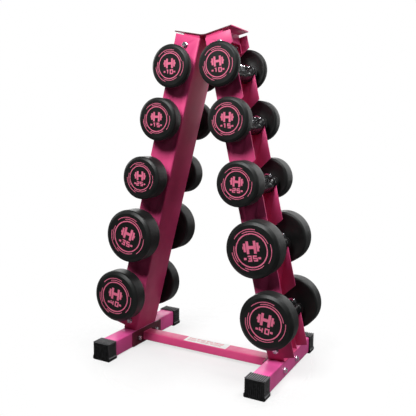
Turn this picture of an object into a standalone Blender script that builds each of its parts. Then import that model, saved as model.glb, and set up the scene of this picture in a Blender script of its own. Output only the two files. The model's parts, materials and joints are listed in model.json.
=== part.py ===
"""Two-sided dumbbell rack with five pairs of round-head dumbbells.

Metres, +Z up, front of the rack towards -Y. The origin is on the floor, in the middle of the base.
Each leaning upright has a frame of its own: "out" runs from its web towards its open side, "up" runs
along it from the foot, and y is shared with the world. An empty carries that frame for each side.
"""
import math

import bmesh
import bpy
from mathutils import Matrix, Vector

MM = 0.001
GAP = 0.3 * MM                  # clearance left between pieces that touch
STEEL = 3.0 * MM                # sheet thickness of every folded part
SIDES = {"left": -1, "right": 1}
ENDS = {"front": -1, "back": 1}

# Base
TUBE = 50.0 * MM                # square foot tube
TUBE_WALL = 2.0 * MM
FOOT_X = 251.5 * MM             # foot centre line, from the middle of the rack
FOOT_LENGTH = 416.0 * MM        # over the end caps
CAP_LENGTH = 40.0 * MM
CAP_SIDE = 4.4 * MM
CAP_TOP = 3.3 * MM
CAP_BOTTOM = 3.0 * MM
CAP_FACE = 4.0 * MM
CAP_SKIRT = 2.0 * MM             # the lowest part of a cap is this much wider each side
CAP_SKIRT_TALL = 12.0 * MM
FOOT_TOP = CAP_BOTTOM + TUBE
BAR_WIDTH = 43.6 * MM
BAR_HEIGHT = 25.6 * MM
BAR_BOTTOM = CAP_BOTTOM + 9.2 * MM
PLATE_LENGTH = 162.0 * MM       # crossbar end plate, along the foot
PLATE_HEIGHT = 47.0 * MM
PLATE_BOTTOM = CAP_BOTTOM + 2.0 * MM
PLATE_THICK = 4.0 * MM
BASE_BOLT_Y = 49.0 * MM
BASE_BOLT_Z = CAP_BOTTOM + 24.0 * MM

# Uprights: folded channels, open side outwards
LEAN = math.radians(13.75)
WEB_X = 227.6 * MM              # inner face of the web at the foot
UPRIGHT_LENGTH = 927.3 * MM
FLANGE = 81.4 * MM
DEPTH = 115.8 * MM
FOLD_RADIUS = 4.0 * MM
BOLT_TOP = (43.5 * MM, 901.5 * MM)      # out, up
BOLT_FOOT = (30.0 * MM, 22.0 * MM)

# Notches, measured from the handle that rests in them
HANDLE_OUT = 49.0 * MM
NOTCH_ARC = 29.0 * MM
NOTCH_ARC_OUT = 51.0 * MM
NOTCH_ARC_DROP = 13.0 * MM
NOTCH_TIP_DROP = 23.5 * MM
NOTCH_MOUTH_RISE = 57.0 * MM
NOTCH_SLOPE = 0.604             # rise per unit out of the slanted upper edge
NOTCH_BEYOND = 12.0 * MM        # how far the cutter reaches past the flange edge
NOTCH_CORNER = 8.0 * MM         # cut across the inner upper corner

# Saddles: a horn beside each flange and a low waist between them, where a hand takes the handle
TROUGH_RADIUS = 19.0 * MM
RIM_THICK = 3.0 * MM
RIM_LIP = 4.0 * MM
SADDLE_WALL = 8.0 * MM          # top of the wall next to the web, above the handle's axis
SADDLE_WALL_THICK = 1.0 * MM
HORN_LENGTH = 6.0 * MM          # inwards from the outside of a flange
HORN_SLOPE = 14.0 * MM          # length of the slope down to the waist
HORN_END = 345.0                # where the trough's arc ends, in degrees
WAIST_END = 305.0
# outer side of each section, about the handle: out and up, in mm
RIM_SIDE = ((71.0, 1.5), (79.0, 2.5), (86.0, -1.5), (89.5, -8.0), (88.5, -16.0), (85.4, -27.5))
HORN_SIDE = ((70.0, 1.0), (77.5, 1.0), (83.0, -3.0), (85.5, -9.5), (85.0, -16.5), (82.0, -22.9))
WAIST_SIDE = ((63.5, -11.5), (68.0, -13.5), (71.5, -17.0), (73.7, -20.5), (75.0, -24.0), (75.7, -26.5))

# Top bracket
ROOF_RISE = 8.0 * MM            # roof underside above the uprights
ROOF_REACH = 87.5 * MM          # out
ROOF_DROOP = {"left": 4.5 * MM, "right": 0.0}   # the left wing is bent slightly lower
TONGUE_OUT = 58.0 * MM
TONGUE_START = STEEL + 1.0 * MM # clear of the upright's web
TONGUE_DROP = 47.0 * MM         # below the top of the upright
TONGUE_WEB_DROP = 22.0 * MM

# Foot brackets
SHOE_OUT = (8.0 * MM, 48.0 * MM)
SHOE_TALL = 42.0 * MM
SHOE_CORNER = 12.0 * MM
WELD = 0.5 * MM                 # how far welded pieces sink into each other

# Fasteners, M8
SHANK = 4.0 * MM
HOLE = 4.35 * MM
HEX = 7.5 * MM                  # centre to corner
HEX_FLAT = HEX * math.cos(math.radians(30.0))
HEAD_HEIGHT = 5.3 * MM
NUT_HEIGHT = 6.5 * MM
WASHER = 8.5 * MM
WASHER_THICK = 1.6 * MM
THREAD_END = 2.0 * MM           # bolt end past its nut

# Dumbbells
GRIP = 14.0 * MM
COLLAR = 16.5 * MM
COLLAR_LENGTH = 6.0 * MM
SPIGOT = 11.0 * MM
SPIGOT_LENGTH = 15.0 * MM
HEAD_ROUND = 5.0 * MM           # bevel on both edges of a head
HEAD_SEGMENTS = 24
HANDLE_SEGMENTS = 12
# pounds: (up, head radius, head thickness, gap between heads, y of the left one, y of the right one)
DUMBBELLS = {
    10: (834.6 * MM, 61.1 * MM, 21.3 * MM, 169.0 * MM, -2.6 * MM, -4.7 * MM),
    15: (680.7 * MM, 61.8 * MM, 36.7 * MM, 170.0 * MM, 3.0 * MM, 1.6 * MM),
    25: (504.8 * MM, 62.9 * MM, 53.3 * MM, 167.0 * MM, -4.0 * MM, -2.9 * MM),
    35: (321.8 * MM, 79.5 * MM, 59.1 * MM, 162.0 * MM, -3.3 * MM, 12.5 * MM),
    40: (122.5 * MM, 79.4 * MM, 49.5 * MM, 161.0 * MM, -12.5 * MM, -1.0 * MM),
}


def clear_scene():
    for item in list(bpy.data.objects):
        bpy.data.objects.remove(item, do_unlink=True)


def material(name, colour, roughness, metallic):
    made = bpy.data.materials.new(name)
    made.use_nodes = True
    shader = made.node_tree.nodes["Principled BSDF"]
    shader.inputs["Base Color"].default_value = (*colour, 1.0)
    shader.inputs["Roughness"].default_value = roughness
    shader.inputs["Metallic"].default_value = metallic
    return made


def add_object(name, bm, look, parent=None, smooth=None):
    """Turn a bmesh into an object with its faces pointing out; smooth is a sharp-edge angle."""
    bmesh.ops.recalc_face_normals(bm, faces=bm.faces)
    mesh = bpy.data.meshes.new(name)
    bm.to_mesh(mesh)
    bm.free()
    if look:
        mesh.materials.append(look)
    if smooth:
        mesh.shade_smooth()
        mesh.set_sharp_from_angle(angle=math.radians(smooth))
    item = bpy.data.objects.new(name, mesh)
    bpy.context.collection.objects.link(item)
    item.parent = parent
    return item


def add_empty(name, place, parent=None):
    item = bpy.data.objects.new(name, None)
    bpy.context.collection.objects.link(item)
    item.parent = parent
    item.matrix_local = place
    return item


def loft(bm, rings, closed=False):
    """Skin a run of equal-length point rings; the ends are filled unless the run closes on itself."""
    loops = [[bm.verts.new(point) for point in ring] for ring in rings]
    count = len(loops[0])
    pairs = list(zip(loops, loops[1:] + loops[:1])) if closed else list(zip(loops, loops[1:]))
    for low, high in pairs:
        for i in range(count):
            j = (i + 1) % count
            bm.faces.new((low[i], low[j], high[j], high[i]))
    if not closed:
        bm.faces.new(loops[0])
        bm.faces.new(loops[-1])


def add_box(bm, low, high):
    corners = [(low[0], low[1]), (high[0], low[1]), (high[0], high[1]), (low[0], high[1])]
    loft(bm, [[(x, y, z) for x, y in corners] for z in (low[2], high[2])])


def add_prism(bm, outline, y_low, y_high):
    """A flat outline of (x, z) points, carried along y."""
    loft(bm, [[(x, y, z) for x, z in outline] for y in (y_low, y_high)])


def circle(radius, count, phase=0.0):
    """Points of a circle in a plane, as pairs."""
    turns = [phase + 2.0 * math.pi * i / count for i in range(count)]
    return [(radius * math.cos(turn), radius * math.sin(turn)) for turn in turns]


def add_turned(bm, profile, count, centre, axis, closed=False):
    """Turn (radius, distance) pairs about an axis through centre; a ring is one pair."""
    to_axis = Vector((0, 0, 1)).rotation_difference(Vector(axis)).to_matrix()
    rings = []
    for radius, along in profile:
        ring = [Vector((x, y, along)) for x, y in circle(radius, count)]
        rings.append([Vector(centre) + to_axis @ point for point in ring])
    loft(bm, rings, closed)


def hide_tool(item):
    item.hide_render = True
    item.display_type = "WIRE"


def combine(item, tool, operation):
    hide_tool(tool)
    step = item.modifiers.new(operation.lower(), "BOOLEAN")
    step.operation = operation
    step.object = tool
    step.solver = "EXACT"


def square_tube(bm, low, high, wall, axis):
    """A square tube open at both ends; axis is the index of the direction it runs along."""
    across = [i for i in range(3) if i != axis]

    def ring(inset, along):
        signs = [(0, 0), (1, 0), (1, 1), (0, 1)]
        points = []
        for pick in signs:
            point = [0.0, 0.0, 0.0]
            point[axis] = along
            for index, end in zip(across, pick):
                point[index] = high[index] - inset if end else low[index] + inset
            points.append(tuple(point))
        return points

    ends = (low[axis], high[axis])
    outer = [ring(0.0, ends[0]), ring(0.0, ends[1])]
    inner = [ring(wall, ends[1]), ring(wall, ends[0])]
    loft(bm, outer + inner, closed=True)


def upright_place(out, up):
    """World x and z of a place on the right upright."""
    x = WEB_X - up * math.sin(LEAN) + out * math.cos(LEAN)
    return x, FOOT_TOP + GAP + up * math.cos(LEAN) + out * math.sin(LEAN)


def outline_arc(centre, radius, start, end, count):
    """Points of an arc from start to end, in degrees."""
    points = []
    for i in range(count):
        turn = math.radians(start + (end - start) * i / (count - 1))
        points.append((centre[0] + radius * math.cos(turn), centre[1] + radius * math.sin(turn)))
    return points


def slant(out):
    """Height above the handle of a notch's slanted upper edge."""
    return NOTCH_MOUTH_RISE - NOTCH_SLOPE * (FLANGE - out)


def notch_outline(up):
    """Cutter outline: slanted top edge, straight back, round bottom and pointed outer lip."""
    beyond = FLANGE + NOTCH_BEYOND
    back = NOTCH_ARC_OUT - NOTCH_ARC
    corner = back + NOTCH_CORNER
    arc = outline_arc((NOTCH_ARC_OUT, -NOTCH_ARC_DROP), NOTCH_ARC, 180, 330, 8)
    top = [(beyond, slant(beyond)), (corner, slant(corner)), (back, slant(corner) - NOTCH_CORNER)]
    lip = [(FLANGE, -NOTCH_TIP_DROP), (beyond, NOTCH_CORNER - NOTCH_TIP_DROP)]
    return [(out, up + rise) for out, rise in top + arc + lip]


def make_foot(name, side, frame, looks):
    """Square foot tube with the upright's U-shaped bracket welded on, and a cap on each end."""
    half = FOOT_LENGTH / 2 - CAP_FACE - GAP
    middle = side * FOOT_X
    bm = bmesh.new()
    low = (middle - TUBE / 2, -half, CAP_BOTTOM)
    high = (middle + TUBE / 2, half, FOOT_TOP)
    square_tube(bm, low, high, TUBE_WALL, 1)
    foot = add_object(f"foot_{name}", bm, looks["paint"])
    inside = DEPTH / 2 - STEEL - GAP
    near, far = SHOE_OUT
    tab = [(near, shoe_floor(near, -WELD)), (far, shoe_floor(far, -WELD))]
    tab += [(far, SHOE_TALL - SHOE_CORNER), (far - SHOE_CORNER, SHOE_TALL), (near, SHOE_TALL)]
    ends = (near + WELD, far - WELD)
    base = [(out, shoe_floor(out, -WELD / 2)) for out in ends]
    base += [(out, shoe_floor(out, STEEL)) for out in reversed(ends)]
    spans = {"base": (base, -inside + STEEL / 2, inside - STEEL / 2)}
    spans["tab_front"] = (tab, -inside, -inside + STEEL)
    spans["tab_back"] = (tab, inside - STEEL, inside)
    for part, (outline, y_low, y_high) in spans.items():
        bm = bmesh.new()
        add_prism(bm, [(side * out, up) for out, up in outline], y_low, y_high)
        combine(foot, add_object(f"shoe_{part}_{name}", bm, None, frame), "UNION")
    bolt_hole = flange_bolt_cutter(f"shoe_hole_{name}", side, frame, BOLT_FOOT)
    combine(foot, bolt_hole, "DIFFERENCE")
    combine(foot, base_bolt_cutter(f"foot_holes_{name}", side), "DIFFERENCE")
    for end, sign in ENDS.items():
        make_cap(f"end_cap_{end}_{name}", middle, sign, looks["plastic"])


def shoe_floor(out, lift):
    """Place along the upright of a point that stands a given height above the foot's flat top."""
    return (lift - GAP) / math.cos(LEAN) - out * math.tan(LEAN)


def make_cap(name, middle, sign, look):
    """A closed sleeve pushed over the end of a foot tube, with a wider skirt round its bottom."""
    face = FOOT_LENGTH / 2
    reach = TUBE / 2 + GAP

    def ring(side, skirt, top, bottom, y):
        spots = [(skirt, bottom), (skirt, bottom + CAP_SKIRT_TALL), (side, top)]
        right = [(middle + out, sign * y, z) for out, z in spots]
        left = [(middle - out, sign * y, z) for out, z in reversed(spots)]
        return right + left

    side = TUBE / 2 + CAP_SIDE
    outer = (side, side + CAP_SKIRT, FOOT_TOP + CAP_TOP, 0.0)
    inner = (reach, reach, FOOT_TOP + GAP, CAP_BOTTOM - GAP)
    rings = [ring(*outer, face), ring(*outer, face - CAP_LENGTH)]
    rings += [ring(*inner, face - CAP_LENGTH), ring(*inner, face - CAP_FACE)]
    bm = bmesh.new()
    loft(bm, rings)
    add_object(name, bm, look)


def flange_bolt_cutter(name, side, frame, place):
    """Round cutter through both flanges of an upright."""
    out, up = place
    bm = bmesh.new()
    add_turned(bm, [(HOLE, -DEPTH), (HOLE, DEPTH)], 12, (side * out, 0, up), (0, 1, 0))
    return add_object(name, bm, None, frame)


def base_bolt_cutter(name, side):
    bm = bmesh.new()
    for y in (-BASE_BOLT_Y, BASE_BOLT_Y):
        profile = [(HOLE, -TUBE), (HOLE, TUBE)]
        add_turned(bm, profile, 12, (side * FOOT_X, y, BASE_BOLT_Z), (1, 0, 0))
    return add_object(name, bm, None)


def make_crossbar(looks):
    """Low tube between the feet with a bolt plate welded on at each end."""
    plate_end = FOOT_X - TUBE / 2 - GAP
    plate_start = plate_end - PLATE_THICK
    half = (plate_start + PLATE_THICK / 2, BAR_WIDTH / 2)
    bm = bmesh.new()
    add_box(bm, (-half[0], -half[1], BAR_BOTTOM), (half[0], half[1], BAR_BOTTOM + BAR_HEIGHT))
    bar = add_object("crossbar", bm, looks["paint"])
    for name, side in SIDES.items():
        ends = sorted((side * plate_start, side * plate_end))
        bm = bmesh.new()
        low = (ends[0], -PLATE_LENGTH / 2, PLATE_BOTTOM)
        add_box(bm, low, (ends[1], PLATE_LENGTH / 2, PLATE_BOTTOM + PLATE_HEIGHT))
        combine(bar, add_object(f"crossbar_plate_{name}", bm, None), "UNION")
    for name, side in SIDES.items():
        combine(bar, base_bolt_cutter(f"plate_holes_{name}", side), "DIFFERENCE")
    bm = bmesh.new()
    wall = half[1] - TUBE_WALL
    low = (-FOOT_X, -wall, BAR_BOTTOM + TUBE_WALL)
    add_box(bm, low, (FOOT_X, wall, BAR_BOTTOM + BAR_HEIGHT - TUBE_WALL))
    combine(bar, add_object("crossbar_bore", bm, None), "DIFFERENCE")


def channel_profile():
    """Half of the folded section, as (out, y) pairs from the web's middle to the flange edge."""
    edge = DEPTH / 2
    fold = outline_arc((FOLD_RADIUS, edge - FOLD_RADIUS), FOLD_RADIUS, 180, 90, 4)
    inside = edge - STEEL
    return fold + [(FLANGE, edge), (FLANGE, inside), (STEEL, inside)]


def make_upright(name, side, frame, look):
    half = channel_profile()
    section = half + [(out, -y) for out, y in reversed(half)]
    bm = bmesh.new()
    loft(bm, [[(side * out, y, up) for out, y in section] for up in (0.0, UPRIGHT_LENGTH)])
    upright = add_object(f"upright_{name}", bm, look, frame, smooth=30)
    bm = bmesh.new()
    for up, *_ in DUMBBELLS.values():
        outline = [(side * out, rise) for out, rise in notch_outline(up)]
        add_prism(bm, outline, -DEPTH, DEPTH)
    combine(upright, add_object(f"notches_{name}", bm, None, frame), "DIFFERENCE")
    for kind, place in (("top", BOLT_TOP), ("foot", BOLT_FOOT)):
        holes = flange_bolt_cutter(f"{kind}_bolt_holes_{name}", side, frame, place)
        combine(upright, holes, "DIFFERENCE")


def saddle_outline(spread, trough_end, side):
    """Saddle section about the handle; spread widens the part that lies in the notch."""
    centre = (HANDLE_OUT, TROUGH_RADIUS - GRIP - GAP)
    trough = outline_arc(centre, TROUGH_RADIUS, 190, 270, 5)
    trough += outline_arc(centre, TROUGH_RADIUS, 270, trough_end, 5)[1:]
    outer = [(out * MM, up * MM) for out, up in side]
    arc_centre = (NOTCH_ARC_OUT, -NOTCH_ARC_DROP)
    arc = outline_arc(arc_centre, NOTCH_ARC - GAP + spread, -30, -180, 8)
    wall = [(arc[-1][0], SADDLE_WALL), (trough[0][0] - SADDLE_WALL_THICK, SADDLE_WALL)]
    return trough + outer + arc + wall


def make_saddle(name, side, frame, up, look):
    """Moulded cradle that lies across both flanges, with a rim outside each."""
    face = DEPTH / 2 + GAP
    step = face - HORN_LENGTH
    rim = saddle_outline(RIM_LIP, HORN_END, RIM_SIDE)
    horn = saddle_outline(0.0, HORN_END, HORN_SIDE)
    waist = saddle_outline(0.0, WAIST_END, WAIST_SIDE)
    half = [(rim, face + RIM_THICK), (rim, face), (horn, face), (horn, step), (waist, step - HORN_SLOPE)]
    outlines = [(line, -y) for line, y in half] + half[::-1]
    bm = bmesh.new()
    loft(bm, [[(side * out, y, up + rise) for out, rise in line] for line, y in outlines])
    add_object(name, bm, look, frame)


def make_top_bracket(frames, look):
    """V-shaped roof plate with a folded tongue that hangs into the top of each channel."""
    low = UPRIGHT_LENGTH + ROOF_RISE
    high = low + STEEL

    def valley(up):
        """Point of a wing's plane over the middle of the rack."""
        x, z = upright_place(0.0, up)
        return 0.0, z - x * math.tan(LEAN)

    def under(name, out):
        """Place along an upright of the underside of the wing over it."""
        return low - ROOF_DROOP[name] * out / ROOF_REACH

    tips = {}
    for name, side in SIDES.items():
        tip = under(name, ROOF_REACH)
        places = [upright_place(ROOF_REACH, tip), upright_place(ROOF_REACH, tip + STEEL)]
        tips[name] = [(side * x, z) for x, z in places]
    outline = [valley(low)] + tips["right"] + [valley(high)] + tips["left"][::-1]
    bm = bmesh.new()
    add_prism(bm, outline, -DEPTH / 2, DEPTH / 2)
    roof = add_object("top_bracket", bm, look)
    inside = DEPTH / 2 - STEEL - GAP
    bottom = UPRIGHT_LENGTH - TONGUE_DROP
    for name, side in SIDES.items():
        for end, sign in ENDS.items():
            bm = bmesh.new()
            faces = sorted((sign * inside, sign * (inside - STEEL)))
            corners = [(TONGUE_START, bottom), (TONGUE_OUT, bottom)]
            corners += [(out, under(name, out) + STEEL / 2) for out in (TONGUE_OUT, TONGUE_START)]
            add_prism(bm, [(side * out, up) for out, up in corners], *faces)
            combine(roof, add_object(f"tongue_{end}_{name}", bm, None, frames[name]), "UNION")
        ends = sorted((side * (TONGUE_OUT - WELD), side * (TONGUE_OUT - STEEL)))
        bm = bmesh.new()
        web_low = (ends[0], -inside + STEEL / 2, UPRIGHT_LENGTH - TONGUE_WEB_DROP)
        web_top = under(name, TONGUE_OUT) + STEEL / 2 - WELD
        add_box(bm, web_low, (ends[1], inside - STEEL / 2, web_top))
        combine(roof, add_object(f"tongue_web_{name}", bm, None, frames[name]), "UNION")
        holes = flange_bolt_cutter(f"tongue_holes_{name}", side, frames[name], BOLT_TOP)
        combine(roof, holes, "DIFFERENCE")


def make_bolt(name, seat, outward, grip, look):
    """Hex bolt, washer and nut, made up as one piece round the sheets that they clamp."""
    washer_top = GAP + WASHER_THICK
    nut_start = -grip - GAP
    nut_end = nut_start - NUT_HEIGHT
    sections = [(SHANK, SHANK, nut_end - THREAD_END), (SHANK, SHANK, nut_end), (HEX, HEX_FLAT, nut_end)]
    sections += [(HEX, HEX_FLAT, nut_start), (SHANK, SHANK, nut_start), (SHANK, SHANK, GAP)]
    sections += [(WASHER, WASHER, GAP), (WASHER, WASHER, washer_top), (HEX, HEX_FLAT, washer_top)]
    sections += [(HEX, HEX_FLAT, washer_top + HEAD_HEIGHT)]
    to_axis = Vector((0, 0, 1)).rotation_difference(Vector(outward)).to_matrix()
    rings = []
    for corner, flat, along in sections:
        ring = []
        for i, (x, y) in enumerate(circle(1.0, 12)):
            radius = flat if i % 2 else corner
            ring.append(Vector(seat) + to_axis @ Vector((radius * x, radius * y, along)))
        rings.append(ring)
    bm = bmesh.new()
    loft(bm, rings)
    add_object(name, bm, look)


def make_bolts(name, side, look):
    """Two bolts through a foot and its plate, one through the foot bracket, two at the top."""
    for end, sign in ENDS.items():
        seat = (side * (FOOT_X + TUBE / 2), sign * BASE_BOLT_Y, BASE_BOLT_Z)
        make_bolt(f"base_bolt_{end}_{name}", seat, (side, 0, 0), TUBE + GAP + PLATE_THICK, look)
        x, z = upright_place(*BOLT_TOP)
        seat = (side * x, sign * DEPTH / 2, z)
        make_bolt(f"top_bolt_{end}_{name}", seat, (0, sign, 0), 2 * STEEL + GAP, look)
    x, z = upright_place(*BOLT_FOOT)
    make_bolt(f"foot_bolt_{name}", (side * x, -DEPTH / 2, z), (0, -1, 0), DEPTH, look)


def head_profile(radius, thick):
    """Section of a head from the bottom of its bore round to the middle of its face."""
    bore = SPIGOT + GAP
    depth = SPIGOT_LENGTH + GAP
    rim = [(radius - HEAD_ROUND, 0.0), (radius, HEAD_ROUND)]
    rim += [(radius, thick - HEAD_ROUND), (radius - HEAD_ROUND, thick)]
    return [(bore, depth), (bore, 0.0)] + rim


def handle_profile(gap):
    """Section of a handle from end to end: spigot, raised collar, grip, collar, spigot."""
    face = gap / 2 - GAP
    end = gap / 2 + SPIGOT_LENGTH
    step = face - COLLAR_LENGTH
    half = [(SPIGOT, end), (SPIGOT, face), (COLLAR, face), (COLLAR, step), (GRIP, step)]
    return [(radius, -along) for radius, along in half] + list(reversed(half))


def make_dumbbell(pounds, name, side, frame, looks):
    """Handle and two heads on an empty that sits on the handle's own axis."""
    up, radius, thick, gap, *shifts = DUMBBELLS[pounds]
    shift = shifts[0] if name == "left" else shifts[1]
    place = Matrix.Translation((side * HANDLE_OUT, shift, up))
    axis = add_empty(f"dumbbell_{pounds}_{name}", place, frame)
    bm = bmesh.new()
    add_turned(bm, handle_profile(gap), HANDLE_SEGMENTS, (0, 0, 0), (0, 1, 0))
    add_object(f"handle_{pounds}_{name}", bm, looks["chrome"], axis, smooth=40)
    for end, sign in ENDS.items():
        bm = bmesh.new()
        add_turned(bm, head_profile(radius, thick), HEAD_SEGMENTS, (0, sign * gap / 2, 0), (0, sign, 0))
        add_object(f"head_{end}_{pounds}_{name}", bm, looks["rubber"], axis, smooth=50)


def build():
    clear_scene()
    looks = {
        "paint": material("pink_powder_coat", (0.80, 0.09, 0.30), 0.45, 0.0),
        "plastic": material("black_plastic", (0.015, 0.015, 0.017), 0.50, 0.0),
        "rubber": material("black_rubber", (0.030, 0.032, 0.034), 0.60, 0.0),
        "chrome": material("chrome", (0.80, 0.80, 0.82), 0.12, 1.0),
        "zinc": material("zinc_plate", (0.62, 0.63, 0.65), 0.30, 1.0),
    }
    frames = {}
    for name, side in SIDES.items():
        turn = Matrix.Rotation(-side * LEAN, 4, "Y")
        place = Matrix.Translation((side * WEB_X, 0.0, FOOT_TOP + GAP)) @ turn
        frames[name] = add_empty(f"upright_frame_{name}", place)
    make_crossbar(looks)
    make_top_bracket(frames, looks["paint"])
    for name, side in SIDES.items():
        make_foot(name, side, frames[name], looks)
        make_upright(name, side, frames[name], looks["paint"])
        make_bolts(name, side, looks["zinc"])
        for pounds, (up, *_) in DUMBBELLS.items():
            make_saddle(f"saddle_{pounds}_{name}", side, frames[name], up, looks["plastic"])
            make_dumbbell(pounds, name, side, frames[name], looks)


build()
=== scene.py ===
"""Looks of a two-sided dumbbell rack: pink powder-coated steel, rubber heads, chrome handles.

Metres, in the CAD's own frame: +Z up, front towards -Y, origin on the floor under the middle. Each
leaning upright has a local frame: "out" runs from its web to its open side, "up" runs along it from
the foot, and y is shared with the world. Pieces on an upright are built there and then placed.
"""
import json
import math

import bmesh
import bpy
from mathutils import Matrix, Vector

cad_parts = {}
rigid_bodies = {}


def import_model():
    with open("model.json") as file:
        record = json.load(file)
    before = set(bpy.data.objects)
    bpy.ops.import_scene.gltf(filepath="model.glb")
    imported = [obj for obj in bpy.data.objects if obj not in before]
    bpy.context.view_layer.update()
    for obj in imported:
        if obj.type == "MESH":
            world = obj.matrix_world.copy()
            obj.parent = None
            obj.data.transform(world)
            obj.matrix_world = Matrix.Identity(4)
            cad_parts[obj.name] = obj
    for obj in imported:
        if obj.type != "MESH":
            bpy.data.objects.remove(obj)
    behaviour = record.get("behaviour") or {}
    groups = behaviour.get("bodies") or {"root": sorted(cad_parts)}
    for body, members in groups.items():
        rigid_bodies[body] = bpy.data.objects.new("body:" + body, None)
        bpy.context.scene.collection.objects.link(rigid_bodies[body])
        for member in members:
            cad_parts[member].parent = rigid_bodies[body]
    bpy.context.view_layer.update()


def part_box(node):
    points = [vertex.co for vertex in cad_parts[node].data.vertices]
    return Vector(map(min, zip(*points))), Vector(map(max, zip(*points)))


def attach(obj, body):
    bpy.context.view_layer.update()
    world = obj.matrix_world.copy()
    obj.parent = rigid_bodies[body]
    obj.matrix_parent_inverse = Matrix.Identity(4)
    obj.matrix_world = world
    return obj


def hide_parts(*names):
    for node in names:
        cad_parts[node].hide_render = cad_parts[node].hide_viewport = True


for item in list(bpy.data.objects):
    bpy.data.objects.remove(item, do_unlink=True)
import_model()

MM = 0.001
GAP = 0.3 * MM
STEEL = 3.0 * MM
SIDES = {"left": -1, "right": 1}
ENDS = {"front": -1, "back": 1}
POUNDS = (10, 15, 25, 35, 40)

# Camera, from the way the object is seen: place, heading, tilt down, roll and lens
CAMERA_PLACE = (0.79613, -1.51017, 0.69777)
CAMERA_HEADING = 0.48689
CAMERA_TILT = 0.13644
CAMERA_ROLL = 0.01671
CAMERA_LENS = 49.207

# Softboxes aimed at the middle of the rack: heading, elevation, size and power
LIGHT_TARGET = (0.0, 0.0, 0.48)
LIGHT_DISTANCE = 2.7
LIGHTS = (
    ("key", -2.0, 41.0, 0.9, 74.0),
    ("right", 94.0, 62.0, 0.9, 50.0),
    ("back_left", -150.0, 17.0, 1.6, 20.0),
    ("back_right", 112.0, 12.0, 1.2, 8.0),
    ("back", 172.0, 14.0, 1.6, 14.0),
    ("strip", 92.0, 16.0, 0.35, 3.0),
    ("left", -98.0, 24.0, 1.4, 16.0),
)
AMBIENT = 0.012                 # brightness of the surround as a light
SHINE = 0.04                    # and in reflections
FLOOR_RADIUS = 1.1
FLOOR_THICK = 20.0 * MM
FLOOR_FADE = (0.08, 0.55)       # distances at which the floor starts and ends its fade to white
FLOOR_GLOW = 0.64

# Uprights: folded channels that lean in
LEAN = math.radians(13.75)
WEB_X = 227.6 * MM
FOOT_TOP = 53.0 * MM
UPRIGHT_LENGTH = 927.3 * MM
FLANGE = 81.4 * MM
DEPTH = 115.8 * MM
INSIDE = DEPTH / 2 - STEEL - GAP    # half the width left between the flanges
FOLD_OUTSIDE = 4.0 * MM
FOLD_INSIDE = 1.4 * MM
EDGE_BREAK = 0.45 * MM
BOLT_TOP = (43.5 * MM, 901.5 * MM)
BOLT_FOOT = (30.0 * MM, 22.0 * MM)
BOLT_HOLE = 4.35 * MM

# Notches, measured from the handle in them
HANDLE_OUT = 49.0 * MM
NOTCH_ARC = 29.0 * MM
NOTCH_ARC_OUT = 51.0 * MM
NOTCH_ARC_DROP = 13.0 * MM
NOTCH_TIP_DROP = 23.5 * MM
NOTCH_MOUTH_RISE = 57.0 * MM
NOTCH_SLOPE = 0.604
NOTCH_BEYOND = 12.0 * MM
NOTCH_CORNER = 8.0 * MM

# Saddles
TROUGH_RADIUS = 19.0 * MM
TROUGH_LIFT = 4.7 * MM
RIM_THICK = 3.0 * MM
RIM_LIP = 4.0 * MM
SADDLE_WALL_TOP = 8.0 * MM
HORN_LENGTH = 6.0 * MM
HORN_SLOPE = 14.0 * MM
HORN_STEPS = 8
HORN_END = 345.0                # where the trough's arc ends, in degrees
WAIST_END = 305.0
# outer side of each saddle section, about the handle: out and up, in mm
RIM_SIDE = ((71.0, 1.5), (79.0, 2.5), (86.0, -1.5), (89.5, -8.0), (88.5, -16.0), (85.4, -27.5))
HORN_SIDE = ((70.0, 1.0), (77.5, 1.0), (83.0, -3.0), (85.5, -9.5), (85.0, -16.5), (82.0, -22.9))
WAIST_SIDE = ((63.5, -11.5), (68.0, -13.5), (71.5, -17.0), (73.7, -20.5), (75.0, -24.0), (75.7, -26.5))

# Top bracket
ROOF_RISE = 8.0 * MM
ROOF_REACH = 87.5 * MM
ROOF_BEND = 14.0 * MM           # half the width of the fold over the middle
ROOF_DROOP = {"left": 4.5 * MM, "right": 0.0}   # the left wing is bent slightly lower
TONGUE_OUT = 58.0 * MM
TONGUE_START = 4.0 * MM
TONGUE_DROP = 47.0 * MM
TONGUE_WEB_DROP = 22.0 * MM
TONGUE_FOLD = 4.0 * MM
TONGUE_WINDOW = (80.0 * MM, 6.0 * MM)   # the cut through its middle: how far down, and its corners
WINDOW_OUT = (40.0 * MM, 80.0 * MM)

# Base
TUBE = 50.0 * MM
TUBE_WALL = 2.0 * MM
TUBE_CORNER = 4.0 * MM
CAP_REST = 3.0 * MM             # foot tube above the floor
SHOE_OUT = (8.0 * MM, 48.0 * MM)
SHOE_TALL = 42.0 * MM
SHOE_CORNER = 12.0 * MM
SHOE_FOLD = 4.0 * MM
SHOE_EDGE = 0.4 * MM
SHOE_WELD = 1.8 * MM
BAR_WIDTH = 43.6 * MM
BAR_HEIGHT = 25.6 * MM
BAR_BOTTOM = 12.2 * MM
BAR_TOP = BAR_BOTTOM + BAR_HEIGHT
BAR_CORNER = 3.0 * MM
BAR_WELD = 1.7 * MM
PLATE_LENGTH = 162.0 * MM
PLATE_HEIGHT = 47.0 * MM
PLATE_BOTTOM = 5.0 * MM
PLATE_THICK = 4.0 * MM
PLATE_CORNER = 3.0 * MM
BASE_BOLT_Y = 49.0 * MM
BASE_BOLT_Z = 27.0 * MM
FOOT_X = 251.5 * MM
CAP_RIBS = 10
CAP_RIB_DEPTH = 2.3 * MM
# one rib over its pitch, as (share of the pitch, share of the depth)
CAP_RIB_SHAPE = ((0.26, 1), (0.29, 0.2), (0.36, 0), (0.64, 0), (0.71, 0.2), (0.74, 1))
CAP_EDGE = 0.6 * MM
CAP_FACE_RIB = 1.6 * MM
CAP_FACE_MARGIN = 1.5 * MM
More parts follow.
